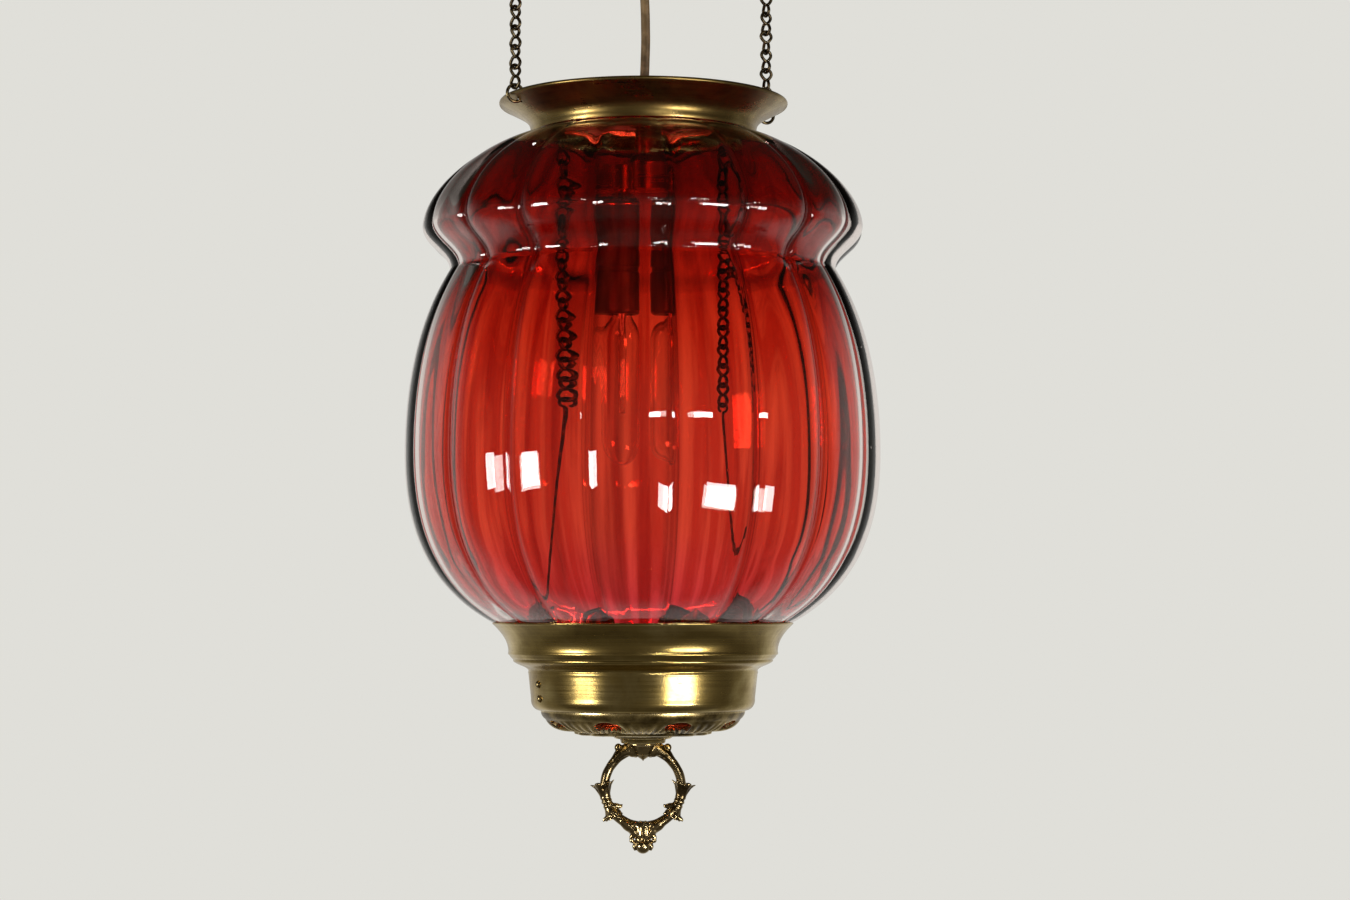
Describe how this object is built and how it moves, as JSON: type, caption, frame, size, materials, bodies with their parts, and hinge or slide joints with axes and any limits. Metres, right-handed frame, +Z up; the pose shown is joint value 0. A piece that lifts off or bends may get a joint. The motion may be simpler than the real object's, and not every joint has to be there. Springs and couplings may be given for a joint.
{
  "type": "sanctuary lamp",
  "caption": "Hanging sanctuary lamp: ribbed ruby glass shade between a spun brass crown and cup, on chains, with candelabra lights and a cast pull ring below.",
  "frame": {"origin": "centre of the ceiling box screw pattern, on the ceiling plane that the canopy rim and the mounting bar touch", "axes": "+Z up, out of the ceiling face; X through the two suspension chains; Y level, across them, towards the back"},
  "size_m": [0.276, 0.276, 0.5467],
  "materials": {
    "aged_brass": "aged satin, dark olive-brown tarnish, spun",
    "cast_brass": "cast, dark in the hollows, rubbed on the high spots",
    "dark_bronze": "dark bronzed wire",
    "ring_brass": "worn through to brass",
    "bright_brass": "polished, slightly tarnished",
    "zinc_steel": "zinc plated",
    "phenolic": "moulded phenolic",
    "cord_cover": "brown-gold cord insulation",
    "wire_nut_plastic": "moulded",
    "ruby_glass": "cased cranberry glass, fire polished",
    "clear_glass": "clear bulb glass",
    "filament_wire": "tungsten and support wire"
  },
  "bodies": {
    "ceiling": {"ceiling_canopy": "aged_brass", "mounting_bar": "zinc_steel", "canopy_studs": "zinc_steel", "canopy_knobs": "aged_brass", "ceiling_eyes": "dark_bronze", "eye_nuts": "zinc_steel", "canopy_bushing": "phenolic", "canopy_lead": "cord_cover", "wire_connectors": "wire_nut_plastic"},
    "top_rings": {"top_jump_rings": "dark_bronze"},
    "chain_left": {"outer_chain_left": "dark_bronze"},
    "chain_right": {"outer_chain_right": "dark_bronze"},
    "cord": {"lamp_cord": "cord_cover"},
    "bottom_rings": {"bottom_jump_rings": "ring_brass"},
    "lamp": {"crown": "aged_brass", "crown_strap": "bright_brass", "crown_bushing": "phenolic", "stem_tube": "bright_brass", "stem_locknuts": "bright_brass", "inner_lead": "cord_cover", "cluster_hub": "aged_brass", "socket_cap_left": "bright_brass", "socket_cap_right": "bright_brass", "socket_body_left": "phenolic", "socket_body_right": "phenolic", "screw_shell_left": "bright_brass", "screw_shell_right": "bright_brass", "centre_contact_left": "bright_brass", "centre_contact_right": "bright_brass", "inner_eyes": "dark_bronze", "inner_eye_nuts": "bright_brass", "inner_chain_left": "dark_bronze", "inner_chain_right": "dark_bronze", "hanger_wire_left": "dark_bronze", "hanger_wire_right": "dark_bronze", "glass_shade": "ruby_glass", "glass_gallery": "dark_bronze", "hanger_brackets": "dark_bronze", "bracket_rivets": "aged_brass", "cup": "aged_brass", "pierced_base": "cast_brass", "base_washer": "zinc_steel"},
    "pull": {"pull_ring": "cast_brass", "pull_stem": "cast_brass", "pull_nut": "zinc_steel"},
    "bulb_left": {"bulb_glass_left": "clear_glass", "bulb_base_left": "bright_brass", "bulb_tip_left": "phenolic", "filament_left": "filament_wire"},
    "bulb_right": {"bulb_glass_right": "clear_glass", "bulb_base_right": "bright_brass", "bulb_tip_right": "phenolic", "filament_right": "filament_wire"}
  },
  "joints": [
    {"name": "swing", "type": "hinge", "parent": "ceiling", "child": "top_rings", "pos_m": [0, 0, -0.0334], "axis": [1, 0, 0], "range_deg": [-20, 20]},
    {"name": "sway", "type": "hinge", "parent": "top_rings", "child": "chain_left", "pos_m": [-0.081, 0, -0.0398], "axis": [0, 1, 0], "range_deg": [-12, 12]},
    {"name": "sway_right_chain", "type": "hinge", "parent": "top_rings", "child": "chain_right", "pos_m": [0.081, 0, -0.0398], "axis": [0, 1, 0], "range_deg": [-12, 12]},
    {"name": "sway_cord", "type": "hinge", "parent": "top_rings", "child": "cord", "pos_m": [0, 0, -0.0398], "axis": [0, 1, 0], "range_deg": [-12, 12]},
    {"name": "level", "type": "hinge", "parent": "chain_left", "child": "bottom_rings", "pos_m": [-0.081, 0, -0.1079], "axis": [0, 1, 0], "range_deg": [-12, 12]},
    {"name": "tilt", "type": "hinge", "parent": "bottom_rings", "child": "lamp", "pos_m": [0, 0, -0.11505], "axis": [1, 0, 0], "range_deg": [-10, 10]},
    {"name": "pull_ring_turn", "type": "hinge", "parent": "lamp", "child": "pull", "pos_m": [0, 0, -0.483], "axis": [0, 0, 1], "continuous": true},
    {"name": "bulb_left_turn", "type": "hinge", "parent": "lamp", "child": "bulb_left", "pos_m": [-0.01088, 0.00507, -0.235], "axis": [0, 0, -1], "range_deg": [0, 1080]},
    {"name": "bulb_right_turn", "type": "hinge", "parent": "lamp", "child": "bulb_right", "pos_m": [0.01088, -0.00507, -0.235], "axis": [0, 0, -1], "range_deg": [0, 1080]}
  ],
  "couplings": [
    {"joint": "sway_right_chain", "follows": "sway", "ratio": 1},
    {"joint": "sway_cord", "follows": "sway", "ratio": 1},
    {"joint": "level", "follows": "sway", "ratio": -1}
  ]
}
